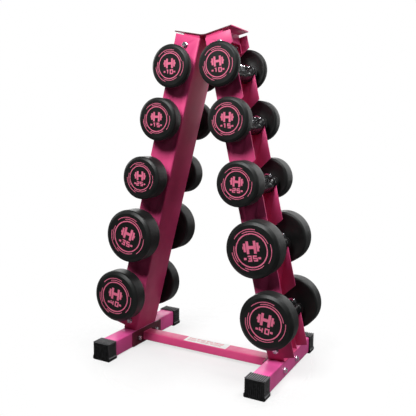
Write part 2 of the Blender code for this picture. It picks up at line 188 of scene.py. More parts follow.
# foot and crest of a face rib: half width over the pitch, bottom, top and corner, in mm
CAP_FACE_SHAPE = ((0.34, 3.0, 1.6, 1.0), (0.20, 3.8, 2.2, 0.5))
CAP_SKIRT = 2.0 * MM            # smooth skirt round the bottom, this much wider each side
CAP_SKIRT_TALL = 12.0 * MM
LABEL = (148.0 * MM, 38.0 * MM)
LABEL_THICK = 0.25 * MM
# rows of bars on the label: middle, height and lengths, in mm
LABEL_ROWS = ((9.5, 5.0, (24, 30, 22, 34)), (1.0, 3.0, (40, 28, 46)), (-6.5, 3.0, (30, 44, 36)))
LABEL_MARGIN = 8.0 * MM
LABEL_SPACE = 4.0 * MM

# Fasteners
SHANK = 4.0 * MM
HEX_FLAT = 6.5 * MM
HEX_CHAMFER = 0.94              # share of the flats at which a hexagon's chamfer starts
HEX_SLOPE = math.tan(math.radians(30.0))
HEAD_HEIGHT = 5.3 * MM
NUT_HEIGHT = 6.5 * MM
WASHER = 8.5 * MM
WASHER_THICK = 1.6 * MM
WASHER_EDGE = 0.3 * MM
THREAD_END = 2.0 * MM
THREAD_PITCH = 1.25 * MM
THREAD_DEPTH = 0.45 * MM

# Dumbbells
GRIP = 14.0 * MM
COLLAR = 16.5 * MM
SPIGOT = 11.0 * MM
SPIGOT_LENGTH = 15.0 * MM
# collar and neck between a head and the grip: radius and distance from the head, in mm
COLLAR_SHAPE = ((16.1, 0.0), (16.5, 0.4), (16.5, 2.1), (16.1, 2.5), (14.4, 2.7), (14.4, 3.3), (15.6, 3.5),
                (15.9, 3.9), (15.9, 5.5), (15.5, 5.9), (13.7, 6.0))
RING_GROOVES = (42.0 * MM, 23.0 * MM)   # pairs of turned grooves on a handle, from its middle
GROOVE_DEPTH = 0.9 * MM
KNURL_PITCH = 2.9 * MM
KNURL_DIAMONDS = 30
KNURL_STEPS = 4                 # points per diamond
KNURL = (0.45 * MM, 0.42 * MM)  # how far its valleys lie below the grip, and its height
HEAD_BACK_ROUND = 6.0 * MM
RIM_SHOULDER = 7.0 * MM         # for the largest head, like the chamfer
RIM_CHAMFER = 7.0 * MM
RIM_SLOPE = 60.0
RIM_EDGE = 2.0 * MM
BACK_STEP = 0.6 * MM            # recess in a head's back face
LARGE_RIM = 79.5 * MM
HEAD_SEGMENTS = 112
SMALL_RING = 35.3 * MM
LARGE_RING = 46.0 * MM
LARGE_HEAD = 70.0 * MM          # heads above this radius carry the large ring
INK_THICK = 0.16 * MM
# degrees that each dumbbell has rolled in its saddle, seen from the front
ROLLS = {
    "left": {10: 0.0, 15: -2.0, 25: -2.0, 35: -17.0, 40: -8.0},
    "right": {10: 6.0, 15: 0.0, 25: -2.0, 35: 10.0, 40: -7.0},
}


# Mesh helpers --------------------

def loft(bm, rings, closed=False):
    """Skin a run of equal-length point rings; the ends are filled unless the run closes on itself."""
    loops = [[bm.verts.new(point) for point in ring] for ring in rings]
    count = len(loops[0])
    following = loops[1:] + loops[:1] if closed else loops[1:]
    for low, high in zip(loops, following):
        for i in range(count):
            j = (i + 1) % count
            bm.faces.new((low[i], low[j], high[j], high[i]))
    if not closed:
        bm.faces.new(loops[0])
        bm.faces.new(loops[-1])


def arc(centre, radius, start, end, count):
    """Points of an arc from start to end, in degrees."""
    points = []
    for i in range(count):
        turn = math.radians(start + (end - start) * i / (count - 1))
        points.append((centre[0] + radius * math.cos(turn), centre[1] + radius * math.sin(turn)))
    return points


def rounded_box(low, high, corner, steps=5):
    """Outline of a rectangle with round corners, as pairs."""
    spots = [(high[0], high[1], 0), (low[0], high[1], 90), (low[0], low[1], 180), (high[0], low[1], 270)]
    points = []
    for x, y, start in spots:
        centre = (x - corner if x == high[0] else x + corner, y - corner if y == high[1] else y + corner)
        points += arc(centre, corner, start, start + 90, steps)
    return points


def add_prism(bm, outline, start, end, axis=1):
    """A flat outline of pairs, carried along an axis: 0 for x, 1 for y and 2 for z."""
    loft(bm, [[(*pair[:axis], along, *pair[axis:]) for pair in outline] for along in (start, end)])


def ring_about(centre, axis, count, shape):
    """A ring about an axis through centre; shape gives radius and distance along it at each turn."""
    to_axis = Vector((0, 0, 1)).rotation_difference(Vector(axis)).to_matrix()
    ring = []
    for i in range(count):
        turn = 2.0 * math.pi * i / count
        radius, along = shape(turn)
        point = Vector((radius * math.cos(turn), radius * math.sin(turn), along))
        ring.append(Vector(centre) + to_axis @ point)
    return ring


def turned_rings(profile, count, centre, axis):
    """Rings of (radius, distance) pairs about an axis through centre."""
    return [ring_about(centre, axis, count, lambda turn, pair=pair: pair) for pair in profile]


def new_object(name, bm):
    bmesh.ops.recalc_face_normals(bm, faces=bm.faces)
    mesh = bpy.data.meshes.new(name)
    bm.to_mesh(mesh)
    bm.free()
    item = bpy.data.objects.new(name, mesh)
    bpy.context.scene.collection.objects.link(item)
    return item


def skinned(name, rings):
    """A piece lofted over one run of rings."""
    bm = bmesh.new()
    loft(bm, rings)
    return new_object(name, bm)


def prism(name, outline, start, end, axis=1):
    bm = bmesh.new()
    add_prism(bm, outline, start, end, axis)
    return new_object(name, bm)


def apply_modifiers(item):
    graph = bpy.context.evaluated_depsgraph_get()
    made = bpy.data.meshes.new_from_object(item.evaluated_get(graph))
    item.modifiers.clear()
    item.data = made


def combine(item, tool, operation, place=None):
    """Boolean with a tool, put in its place first, that is then thrown away."""
    if place is not None:
        tool.matrix_world = place
        bpy.context.view_layer.update()
    step = item.modifiers.new("combine", "BOOLEAN")
    step.operation = operation
    step.object = tool
    step.solver = "EXACT"
    apply_modifiers(item)
    bpy.data.objects.remove(tool, do_unlink=True)


def soften(item, width, segments=2, angle=35.0):
    """Break the sharp edges of a piece."""
    step = item.modifiers.new("soften", "BEVEL")
    step.width = width
    step.segments = segments
    step.limit_method = "ANGLE"
    step.angle_limit = math.radians(angle)
    step.use_clamp_overlap = True
    apply_modifiers(item)


def dress(item, look, body="rack", place=None, replaces=(), smooth=38.0):
    """Shade a finished piece, put it in its place, give it its body and finish, and hide the CAD nodes that
    it replaces.
    """
    item.data.materials.clear()
    item.data.materials.append(look)
    item.data.shade_smooth()
    item.data.set_sharp_from_angle(angle=math.radians(smooth))
    if place is not None:
        item.matrix_world = place
    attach(item, body)
    if replaces:
        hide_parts(*replaces)
    return item


# Materials --------------------

def feed(tree, socket, value):
    """Link a socket to another one, or set its value."""
    if isinstance(value, bpy.types.NodeSocket):
        tree.links.new(value, socket)
    else:
        socket.default_value = value


def add_node(tree, kind, **inputs):
    made = tree.nodes.new(kind)
    for name, value in inputs.items():
        feed(tree, made.inputs[name.replace("_", " ")], value)
    return made


def noise(tree, scale, detail=3.0, stretch=(1.0, 1.0, 1.0)):
    """Noise in the piece's own space; scale is features per metre."""
    place = add_node(tree, "ShaderNodeTexCoord").outputs["Object"]
    mapped = add_node(tree, "ShaderNodeMapping", Vector=place, Scale=stretch).outputs["Vector"]
    texture = add_node(tree, "ShaderNodeTexNoise", Vector=mapped, Scale=scale, Detail=detail)
    return texture.outputs["Fac"]


def remap(tree, value, low, high, to_low=0.0, to_high=1.0):
    made = add_node(tree, "ShaderNodeMapRange", Value=value, From_Min=low, From_Max=high,
                    To_Min=to_low, To_Max=to_high)
    return made.outputs["Result"]


def maths(tree, operation, first, second, clamp=False):
    made = tree.nodes.new("ShaderNodeMath")
    made.operation = operation
    made.use_clamp = clamp
    for socket, value in zip(made.inputs, (first, second)):
        feed(tree, socket, value)
    return made.outputs["Value"]


def tint(tree, factor, first, second):
    """Blend of two colours, each a triple or a socket."""
    made = tree.nodes.new("ShaderNodeMix")
    made.data_type = "RGBA"
    tree.links.new(factor, made.inputs["Factor"])
    for name, value in (("A", first), ("B", second)):
        socket = [one for one in made.inputs if one.name == name and one.type == "RGBA"][0]
        feed(tree, socket, (*value, 1.0) if isinstance(value, tuple) else value)
    return [one for one in made.outputs if one.type == "RGBA"][0]


def bump(tree, height, strength, distance, normal=None):
    made = add_node(tree, "ShaderNodeBump", Height=height, Strength=strength, Distance=distance)
    if normal is not None:
        tree.links.new(normal, made.inputs["Normal"])
    return made.outputs["Normal"]


def edge_mask(tree, radius, strength=9.0):
    """1 on sharp outer and inner edges, 0 on flat faces."""
    rounded = add_node(tree, "ShaderNodeBevel", Radius=radius)
    rounded.samples = 4
    flat = tree.nodes.new("ShaderNodeNewGeometry").outputs["Normal"]
    dot = tree.nodes.new("ShaderNodeVectorMath")
    dot.operation = "DOT_PRODUCT"
    tree.links.new(rounded.outputs["Normal"], dot.inputs[0])
    tree.links.new(flat, dot.inputs[1])
    turned = maths(tree, "SUBTRACT", 1.0, dot.outputs["Value"])
    return maths(tree, "MULTIPLY", turned, strength, clamp=True)


def shelter_mask(tree, reach):
    """1 in open places, 0 deep in grooves and corners."""
    made = add_node(tree, "ShaderNodeAmbientOcclusion", Distance=reach)
    made.samples = 6
    return made.outputs["AO"]


def mix_shaders(tree, factor, first, second):
    made = tree.nodes.new("ShaderNodeMixShader")
    for socket, value in zip(made.inputs, (factor, first, second)):
        tree.links.new(value, socket)
    return made.outputs["Shader"]


def new_look(name, metallic=0.0, specular=0.5):
    made = bpy.data.materials.new(name)
    made.use_nodes = True
    shader = made.node_tree.nodes["Principled BSDF"]
    shader.inputs["Metallic"].default_value = metallic
    shader.inputs["Specular IOR Level"].default_value = specular
    return made, made.node_tree, shader


def wire(tree, shader, colour, roughness, normal):
    tree.links.new(colour, shader.inputs["Base Color"])
    tree.links.new(roughness, shader.inputs["Roughness"])
    tree.links.new(normal, shader.inputs["Normal"])


def powder_coat(name, thick, thin, speck, worn_edge):
    """Baked powder: orange peel, faint thick and thin patches, scuffed and thinned edges."""
    made, tree, shader = new_look(name, specular=0.30)
    patches = remap(tree, noise(tree, 14.0, 4.0), 0.3, 0.7)
    colour = tint(tree, patches, thick, thin)
    grains = remap(tree, noise(tree, 1800.0, 2.0), 0.35, 0.65)
    colour = tint(tree, remap(tree, grains, 0.0, 1.0, 0.0, 0.22), colour, speck)
    worn = maths(tree, "MULTIPLY", edge_mask(tree, 0.9 * MM), remap(tree, noise(tree, 160.0), 0.40, 0.62))
    colour = tint(tree, maths(tree, "MULTIPLY", worn, 0.45), colour, worn_edge)
    smears = remap(tree, noise(tree, 30.0, 5.0, (1.0, 1.0, 0.35)), 0.35, 0.70, 0.34, 0.50)
    roughness = maths(tree, "ADD", smears, maths(tree, "MULTIPLY", worn, 0.12))
    peel = bump(tree, noise(tree, 750.0, 2.0), 0.22, 0.25 * MM)
    wire(tree, shader, colour, roughness, bump(tree, grains, 0.10, 0.06 * MM, peel))
    shader.inputs["Coat Weight"].default_value = 0.07
    shader.inputs["Coat Roughness"].default_value = 0.22
    return made


def rubber():
    """Moulded head rubber: charcoal, fine grain, a few pale handling specks, and rims painted lighter for
    wear and as a painted highlight.
    """
    made, tree, shader = new_look("charcoal_rubber", specular=0.34)
    clouds = remap(tree, noise(tree, 26.0, 5.0), 0.30, 0.72)
    colour = tint(tree, clouds, (0.005, 0.0058, 0.0055), (0.010, 0.0112, 0.0108))
    specks = remap(tree, noise(tree, 1400.0, 3.0), 0.60, 0.78)
    colour = tint(tree, maths(tree, "MULTIPLY", specks, 0.40), colour, (0.034, 0.037, 0.036))
    patches = remap(tree, noise(tree, 70.0), 0.35, 0.70)
    # edges painted lighter: partly wear, partly a painted rim highlight
    rubbed_and_highlit = maths(tree, "MULTIPLY", edge_mask(tree, 3.0 * MM, 5.0), patches)
    colour = tint(tree, maths(tree, "MULTIPLY", rubbed_and_highlit, 0.65), colour, (0.090, 0.096, 0.096))
    roughness = remap(tree, noise(tree, 45.0, 4.0), 0.30, 0.70, 0.36, 0.50)
    grain = bump(tree, noise(tree, 1100.0, 4.0), 0.35, 0.18 * MM)
    wire(tree, shader, colour, roughness, bump(tree, clouds, 0.08, 0.6 * MM, grain))
    shader.inputs["Sheen Weight"].default_value = 0.06
    shader.inputs["Sheen Roughness"].default_value = 0.5
    return made


def moulded_plastic(name, dark, light, rough, grain_scale, top_highlight, specular):
    """Injection-moulded black plastic: fine grain, grooves painted dark as shade, edges painted paler for
    wear and highlight, upward tops painted lighter as a highlight.
    """
    made, tree, shader = new_look(name, specular=specular)
    clouds = remap(tree, noise(tree, 40.0, 4.0), 0.32, 0.70)
    # grooves and corners painted near black where the occlusion mask is low: painted shade
    unshaded = remap(tree, shelter_mask(tree, 5.0 * MM), 0.45, 0.95)
    colour = tint(tree, unshaded, (0.002, 0.002, 0.002), tint(tree, clouds, dark, light))
    facing = tree.nodes.new("ShaderNodeSeparateXYZ")
    tree.links.new(add_node(tree, "ShaderNodeNewGeometry").outputs["True Normal"], facing.inputs[0])
    # faces that point up are painted lighter: a painted highlight
    lit_top = maths(tree, "MULTIPLY", remap(tree, facing.outputs["Z"], 0.6, 0.95), unshaded)
    colour = tint(tree, maths(tree, "MULTIPLY", lit_top, top_highlight), colour, (0.28, 0.28, 0.29))
    # edges painted paler: partly wear, partly a painted highlight on the rib crests
    rubbed_and_highlit = maths(tree, "MULTIPLY", edge_mask(tree, 1.0 * MM), remap(tree, noise(tree, 220.0), 0.38, 0.66))
    colour = tint(tree, maths(tree, "MULTIPLY", rubbed_and_highlit, 0.6), colour, (0.10, 0.10, 0.105))
    worn = remap(tree, noise(tree, 90.0, 3.0), 0.3, 0.7, rough - 0.08, rough + 0.08)
    roughness = maths(tree, "ADD", worn, remap(tree, unshaded, 0.0, 1.0, 0.35, 0.0))
    grain = bump(tree, noise(tree, grain_scale, 2.0), 0.30, 0.12 * MM)
    wire(tree, shader, colour, roughness, grain)
    return made


def plated_metal(name, colours, rough, polish):
    """Plated steel: chrome when polished, zinc when dull; faint stains and fine drawing lines."""
    made, tree, shader = new_look(name, metallic=1.0)
    stains = remap(tree, noise(tree, 120.0, 5.0), 0.35, 0.72)
    colour = tint(tree, stains, *colours)
    roughness = remap(tree, noise(tree, 260.0, 4.0), 0.3, 0.7, *rough)
    lines = bump(tree, noise(tree, 900.0, 2.0, (1.0, 6.0, 1.0)), polish, 0.05 * MM)
    wire(tree, shader, colour, roughness, lines)
    return made


def printed_ink():
    """Pad-printed pink ink, a little thin in places so that the rubber's grain shows through."""
    made, tree, shader = new_look("pink_print", specular=0.35)
    thin = remap(tree, noise(tree, 900.0, 4.0), 0.56, 0.74)
    patches = remap(tree, noise(tree, 60.0, 3.0), 0.3, 0.7)
    colour = tint(tree, patches, (0.78, 0.15, 0.27), (0.86, 0.20, 0.33))
    colour = tint(tree, maths(tree, "MULTIPLY", thin, 0.5), colour, (0.28, 0.06, 0.10))
    roughness = remap(tree, patches, 0.0, 1.0, 0.48, 0.60)
    wire(tree, shader, colour, roughness, bump(tree, noise(tree, 1100.0, 4.0), 0.25, 0.12 * MM))
    return made


def vinyl(name, first, second):
    """Sticker film: faintly mottled, with soft ripples where it was pressed down."""
    made, tree, shader = new_look(name, specular=0.5)
    mottled = remap(tree, noise(tree, 70.0, 4.0), 0.3, 0.7)
    colour = tint(tree, mottled, first, second)
    roughness = remap(tree, noise(tree, 110.0), 0.3, 0.7, 0.28, 0.42)
    wire(tree, shader, colour, roughness, bump(tree, noise(tree, 55.0, 2.0), 0.12, 0.8 * MM))
    return made


# Steel pieces --------------------

def upright_frame(side):
    turn = Matrix.Rotation(-side * LEAN, 4, "Y")
    return Matrix.Translation((side * WEB_X, 0.0, FOOT_TOP + GAP)) @ turn


def handle_centre(pounds, name):
    low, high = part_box(f"handle_{pounds}_{name}")
    return (low + high) / 2


def handle_up(pounds, name):
    """How far along its upright a handle lies."""
    return (upright_frame(SIDES[name]).inverted() @ handle_centre(pounds, name)).z


def slant(out):
    """Height above the handle of a notch's slanted upper edge."""
    return NOTCH_MOUTH_RISE - NOTCH_SLOPE * (FLANGE - out)


def notch_outline(up):
    """Slanted top edge, straight back, round bottom and pointed outer lip."""
    beyond = FLANGE + NOTCH_BEYOND
    back = NOTCH_ARC_OUT - NOTCH_ARC
    bottom = arc((NOTCH_ARC_OUT, -NOTCH_ARC_DROP), NOTCH_ARC, 180, 330, 26)
    corner_top = slant(back + NOTCH_CORNER)
    corner = arc((back + NOTCH_CORNER, corner_top - NOTCH_CORNER), NOTCH_CORNER, 110, 180, 8)
    lip = [(FLANGE, -NOTCH_TIP_DROP), (beyond, -NOTCH_TIP_DROP + NOTCH_CORNER)]
    return [(out, up + rise) for out, rise in [(beyond, slant(beyond))] + corner + bottom + lip]


def channel_half():
    """Half of an upright's folded section, from the middle of its web to its flange edge and back."""
    edge = DEPTH / 2
    inside = edge - STEEL
    outer = arc((FOLD_OUTSIDE, edge - FOLD_OUTSIDE), FOLD_OUTSIDE, 180, 90, 9)
    inner = arc((STEEL + FOLD_INSIDE, inside - FOLD_INSIDE), FOLD_INSIDE, 90, 180, 6)
    return outer + [(FLANGE, edge), (FLANGE, inside)] + inner


def mirrored(half):
    """The other half of an outline of (out, y) pairs, in the order that closes it."""
    return [(out, -y) for out, y in reversed(half)]


def add_hole(bm, side, place):
    """Cutter for a bolt hole through both flanges; place is (out, up)."""
    out, up = place
    loft(bm, turned_rings([(BOLT_HOLE, -DEPTH), (BOLT_HOLE, DEPTH)], 32, (side * out, 0, up), (0, 1, 0)))


def make_upright(name, side, looks):
    half = channel_half()
    section = half + mirrored(half)
    ends = (0.0, UPRIGHT_LENGTH)
    upright = skinned(f"channel_{name}", [[(side * out, y, up) for out, y in section] for up in ends])
    bm = bmesh.new()
    for pounds in POUNDS:
        outline = [(side * out, rise) for out, rise in notch_outline(handle_up(pounds, name))]
        add_prism(bm, outline, -DEPTH, DEPTH)
    for place in (BOLT_TOP, BOLT_FOOT):
        add_hole(bm, side, place)
    combine(upright, new_object("notch_tools", bm), "DIFFERENCE")
    soften(upright, EDGE_BREAK)
    dress(upright, looks["paint"], place=upright_frame(side), replaces=[f"upright_{name}"])


def make_top_bracket(looks):
    """V-shaped roof plate with a folded tongue hanging into the top of each upright."""
    low = UPRIGHT_LENGTH + ROOF_RISE

    def spot(out, up):
        place = upright_frame(1) @ Vector((out, 0.0, up))
        return place.x, place.z

    def under(name, out):
        """Height of a wing's underside."""
        return low - ROOF_DROOP[name] * out / ROOF_REACH

    def valley(up, count=9):
        """Rounded fold over the middle of the rack."""
        x, z = spot(0.0, up)
        middle = z - x * math.tan(LEAN)
        rise = ROOF_BEND * math.tan(LEAN) / 2
        places = [i / (count - 1) * 2 - 1 for i in range(count)]
        return [(t * ROOF_BEND, middle + (t * t + 1) * rise) for t in places]

    tips = {}
    for name, side in SIDES.items():
        places = [spot(ROOF_REACH, under(name, ROOF_REACH) + lift) for lift in (0.0, STEEL)]
        tips[name] = [(side * x, z) for x, z in places]
    outline = valley(low) + tips["right"] + valley(low + STEEL)[::-1] + tips["left"][::-1]
    roof = prism("roof_bracket", outline, -DEPTH / 2, DEPTH / 2)
    for name, side in SIDES.items():
        fold = (TONGUE_OUT - TONGUE_FOLD, INSIDE - TONGUE_FOLD)
        half = [(TONGUE_START, INSIDE)] + arc(fold, TONGUE_FOLD, 90, 0, 8)
        back = arc(fold, TONGUE_FOLD - STEEL, 0, 90, 5) + [(TONGUE_START, INSIDE - STEEL)]
        ring = half + mirrored(half) + mirrored(back) + back
        foot_ring = [(side * out, y, UPRIGHT_LENGTH - TONGUE_DROP) for out, y in ring]
        top_ring = [(side * out, y, under(name, out) + STEEL / 2) for out, y in ring]
        tongue = skinned("tongue", [foot_ring, top_ring])
        window = fold[1] - STEEL
        web_end = UPRIGHT_LENGTH - TONGUE_WEB_DROP
        reach, corner = TONGUE_WINDOW
        outline = rounded_box((-window, web_end - reach), (window, web_end), corner)
        bm = bmesh.new()
        add_prism(bm, outline, side * WINDOW_OUT[0], side * WINDOW_OUT[1], 0)
        add_hole(bm, side, BOLT_TOP)
        combine(tongue, new_object("tongue_tools", bm), "DIFFERENCE")
        combine(roof, tongue, "UNION", upright_frame(side))
    soften(roof, EDGE_BREAK)
    dress(roof, looks["paint"], replaces=["top_bracket"])
    # the roof's front and back edge faces get the dark maroon coat: painted shade
    roof.data.materials.append(looks["shaded_plate_paint"])
    for face in roof.data.polygons:
        if abs(face.center.y) > DEPTH / 2 - EDGE_BREAK and abs(face.normal.y) > 0.6:
            face.material_index = 1


def add_tube(bm, low, high, wall, corner, y_ends):
    """A rectangular tube with round corners, open at both ends, along y; low and high are (x, z)."""
    outer = rounded_box(low, high, corner)
    small_low = (low[0] + wall, low[1] + wall)
    small_high = (high[0] - wall, high[1] - wall)
    inner = rounded_box(small_low, small_high, max(corner - wall, 0.8 * MM))
    near, far = y_ends
    spans = [(outer, near), (outer, far), (inner, far), (inner, near)]
    loft(bm, [[(x, y, z) for x, z in outline] for outline, y in spans], closed=True)


def add_weld(bm, path, radius, step=2.2 * MM):
    """A rippled weld bead along straight runs between points."""
    stations = []
    for start, end in zip(path, path[1:]):
        run = Vector(end) - Vector(start)
        count = max(2, round(run.length / step * 4))
        for i in range(count + (end is path[-1])):
            stations.append((Vector(start) + run * i / count, run.normalized()))
    rings = []
    for i, (place, heading) in enumerate(stations):
        swell = radius * (0.82 + 0.18 * abs(math.sin(math.pi * i / 4)) + 0.05 * math.sin(i * 0.37))
        if i in (0, len(stations) - 1):
            swell *= 0.5
        first = heading.orthogonal().normalized()
        second = heading.cross(first)
        ring = [place + swell * (first * x + second * y) for x, y in arc((0, 0), 1.0, 0, 324, 10)]
        rings.append(ring)
    loft(bm, rings)


def base_bores(x):
    """Cutter for the holes of the two base bolts, across a foot and its plate."""
    bm = bmesh.new()
    for y in (-BASE_BOLT_Y, BASE_BOLT_Y):
        profile = [(BOLT_HOLE, -TUBE), (BOLT_HOLE, TUBE)]
        loft(bm, turned_rings(profile, 28, (x, y, BASE_BOLT_Z), (1, 0, 0)))
    return new_object("base_bores", bm)


def make_foot(name, side, looks):
    """Square foot tube, the U bracket welded on it and its weld beads."""
    middle = side * FOOT_X
    low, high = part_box(f"foot_{name}")
    bm = bmesh.new()
    corners = ((middle - TUBE / 2, CAP_REST), (middle + TUBE / 2, FOOT_TOP))
    add_tube(bm, *corners, TUBE_WALL, TUBE_CORNER, (low.y, high.y))
    foot = new_object(f"foot_tube_{name}", bm)
    combine(foot, base_bores(middle), "DIFFERENCE")
    soften(foot, 0.3 * MM, segments=1, angle=50.0)
    # the foot tube gets a lighter, bluer copy of the pink coat: painted light
    dress(foot, looks["lit_foot_paint"], replaces=[f"foot_{name}"])
    make_shoe(name, side, looks)


def make_shoe(name, side, looks):
    """Bracket that stands on the foot inside the upright: floor plate with two folded-up tabs."""
    base = FOOT_TOP - 0.2 * MM
    spare = 15.0 * MM
    centre = (INSIDE - SHOE_FOLD, base + SHOE_FOLD)
    top = base + SHOE_TALL + spare
    outer = [(INSIDE, top)] + arc(centre, SHOE_FOLD, 0, -90, 7)
    inner = arc(centre, SHOE_FOLD - STEEL, -90, 0, 5) + [(INSIDE - STEEL, top)]
    ring = outer + [(-y, z) for y, z in reversed(outer)]
    ring += [(-y, z) for y, z in reversed(inner)] + inner
    place = upright_frame(side)
    near, far = SHOE_OUT
    start, end = [(place @ Vector((side * out, 0, 0))).x for out in SHOE_OUT]
    shoe = prism(f"foot_shoe_{name}", ring, start - side * spare, end + side * spare, 0)
    corner = arc((far - SHOE_CORNER, SHOE_TALL - SHOE_CORNER), SHOE_CORNER, 0, 90, 9)
    tab = [(near, -2 * spare), (far, -2 * spare)] + corner + [(near, SHOE_TALL)]
    tab = [(side * out, up) for out, up in tab]
    combine(shoe, prism("shoe_shape", tab, -DEPTH, DEPTH), "INTERSECT", place)
    bm = bmesh.new()
    add_hole(bm, side, BOLT_FOOT)
    combine(shoe, new_object("shoe_hole", bm), "DIFFERENCE", place)
    soften(shoe, SHOE_EDGE)
    dress(shoe, looks["paint"])
    start, end = [(place @ Vector((side * out, 0, -out * math.tan(LEAN)))).x for out in SHOE_OUT]
    bm = bmesh.new()
    for sign in (-1, 1):
        y = sign * (INSIDE - SHOE_FOLD / 2)
        add_weld(bm, [(start, y, FOOT_TOP), (end, y, FOOT_TOP)], SHOE_WELD)
    reach = INSIDE - SHOE_FOLD
    add_weld(bm, [(end, -reach, FOOT_TOP), (end, reach, FOOT_TOP)], SHOE_WELD)
    dress(new_object(f"shoe_weld_{name}", bm), looks["paint"], smooth=60)


def make_crossbar(looks):
    """Low rectangular tube between the feet, a bolt plate at each end and the weld round each joint."""
    plate_end = FOOT_X - TUBE / 2 - GAP
    plate_start = plate_end - PLATE_THICK
    half = BAR_WIDTH / 2
    ends = (-plate_start, plate_start)
    bm = bmesh.new()
    add_tube(bm, (-half, BAR_BOTTOM), (half, BAR_TOP), TUBE_WALL, BAR_CORNER, ends)
    bmesh.ops.rotate(bm, verts=bm.verts, matrix=Matrix.Rotation(math.radians(90), 3, "Z"))
    bar = new_object("cross_tube", bm)
    dress(bar, looks["paint"], replaces=["crossbar"])
    long = PLATE_LENGTH / 2
    outline = rounded_box((-long, PLATE_BOTTOM), (long, PLATE_BOTTOM + PLATE_HEIGHT), PLATE_CORNER)
    for name, side in SIDES.items():
        plate = prism(f"cross_plate_{name}", outline, side * plate_start, side * plate_end, 0)
        combine(plate, base_bores(side * FOOT_X), "DIFFERENCE")
        soften(plate, EDGE_BREAK)
        # the end plates get a dark maroon copy of the pink coat: painted shade
        dress(plate, looks["shaded_plate_paint"])
        bm = bmesh.new()
        x = side * plate_start
        path = [(x, -half, BAR_BOTTOM), (x, -half, BAR_TOP), (x, half, BAR_TOP), (x, half, BAR_BOTTOM)]
        add_weld(bm, path, BAR_WELD)
        dress(new_object(f"cross_weld_{name}", bm), looks["paint"], smooth=60)
    make_label(looks)


def make_label(looks):
    """Plain sticker on the crossbar: white film with rows of unlettered bars."""
    length, width = LABEL
    outline = rounded_box((-length / 2, -width / 2), (length / 2, width / 2), 2.5 * MM)
    top = BAR_TOP + LABEL_THICK
    dress(prism("sticker", outline, BAR_TOP - 0.05 * MM, top, 2), looks["film"])
    bm = bmesh.new()
    for y, tall, lengths in LABEL_ROWS:
        x = LABEL_MARGIN - length / 2
        for bar in lengths:
            end = x + bar * MM
            outline = rounded_box((x, (y - tall / 2) * MM), (end, (y + tall / 2) * MM), 0.8 * MM, 3)
            add_prism(bm, outline, top - LABEL_THICK / 2, top + 0.08 * MM, 2)
            x = end + LABEL_SPACE
    dress(new_object("sticker_bars", bm), looks["bars"])


# Plastic pieces --------------------

def cap_ring(side, low, top, inset):
    """Outline of a cap about its middle: a smooth skirt under ribbed sides and a ribbed top."""
    skirt = side + CAP_SKIRT - inset
    side, low, top = side - inset, low + inset, top - inset
    band = low + CAP_SKIRT_TALL
    bottom = [(-skirt, band - 1.5 * MM), *arc((4 * MM - skirt, low + 4 * MM), 4 * MM, 180, 270, 7)]
    points = bottom + [(-x, z) for x, z in reversed(bottom)]
    corners = [Vector(spot) for spot in ((side, band), (side, top), (-side, top), (-side, band))]
    for start, end in zip(corners, corners[1:]):
        along = (end - start).normalized()
        inward = Vector((-along.y, along.x))
        pitch = (end - start).length / CAP_RIBS
        for i in range(CAP_RIBS):
            for share, sunk in CAP_RIB_SHAPE:
                place = start + along * pitch * (i + share) + inward * CAP_RIB_DEPTH * sunk
                points.append((place.x, place.y))
    return points


def make_cap(end, name, looks):
    """Ribbed sleeve over the end of a foot, with upright ribs on its face."""
    low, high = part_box(f"end_cap_{end}_{name}")
    sign = ENDS[end]
    back, face = (high.y, low.y) if sign < 0 else (low.y, high.y)
    base = face - sign * CAP_FACE_RIB
    middle = (low.x + high.x) / 2
    side = (high.x - low.x) / 2 - CAP_SKIRT
    narrow = cap_ring(side, low.z, high.z, CAP_EDGE)
    full = cap_ring(side, low.z, high.z, 0.0)
    stations = [(narrow, base), (full, base - sign * CAP_EDGE), (full, back + sign * MM), (narrow, back)]
    cap = skinned(f"cap_{end}_{name}", [[(middle + x, y, z) for x, z in ring] for ring, y in stations])
    reach = TUBE / 2 + GAP
    bore = rounded_box((middle - reach, CAP_REST - GAP), (middle + reach, FOOT_TOP + GAP), TUBE_CORNER, 4)
    bore = prism("cap_bore", bore, back - sign * 5.0 * MM, base - sign * 3.0 * MM)
    combine(cap, bore, "DIFFERENCE")
    bm = bmesh.new()
    bm.from_mesh(cap.data)
    pitch = 2 * (side - CAP_FACE_MARGIN) / CAP_RIBS
    for i in range(CAP_RIBS):
        x = middle - side + CAP_FACE_MARGIN + pitch * (i + 0.5)
        foot, crest = [rounded_box((x - pitch * half, low.z + bottom * MM),
                                   (x + pitch * half, high.z - top * MM), corner * MM, 3)
                       for half, bottom, top, corner in CAP_FACE_SHAPE]
        rings = [(foot, base - sign * 0.5 * MM), (foot, base), (crest, face)]
        loft(bm, [[(px, y, pz) for px, pz in ring] for ring, y in rings])
    bm.to_mesh(cap.data)
    bm.free()
    dress(cap, looks["cap"], replaces=[f"end_cap_{end}_{name}"])


def smooth_run(points, steps=4):
    """A curve through a run of points."""
    ends = [points[0], *points, points[-1]]
    made = []
    for a, b, c, d in zip(ends, ends[1:], ends[2:], ends[3:]):
        for i in range(steps):
            t = i / steps
            made.append(tuple(b[k] + t / 2 * (c[k] - a[k] + t * (2 * a[k] - 5 * b[k] + 4 * c[k] - d[k]
                              + t * (3 * b[k] - 3 * c[k] + d[k] - a[k]))) for k in (0, 1)))
    return made + [points[-1]]


def saddle_outline(spread, trough_end, side):
    """Saddle section about the handle as (out, up); spread widens the part that lies in the notch."""
    trough = arc((HANDLE_OUT, TROUGH_LIFT), TROUGH_RADIUS, 190, trough_end, 22)
    outer = smooth_run([(out * MM, up * MM) for out, up in side])
    bottom = arc((NOTCH_ARC_OUT, -NOTCH_ARC_DROP), NOTCH_ARC - GAP + spread, -30, -180, 26)
    wall = [(bottom[-1][0], SADDLE_WALL_TOP), (trough[0][0] - 1.0 * MM, SADDLE_WALL_TOP)]
    return trough + outer + bottom + wall


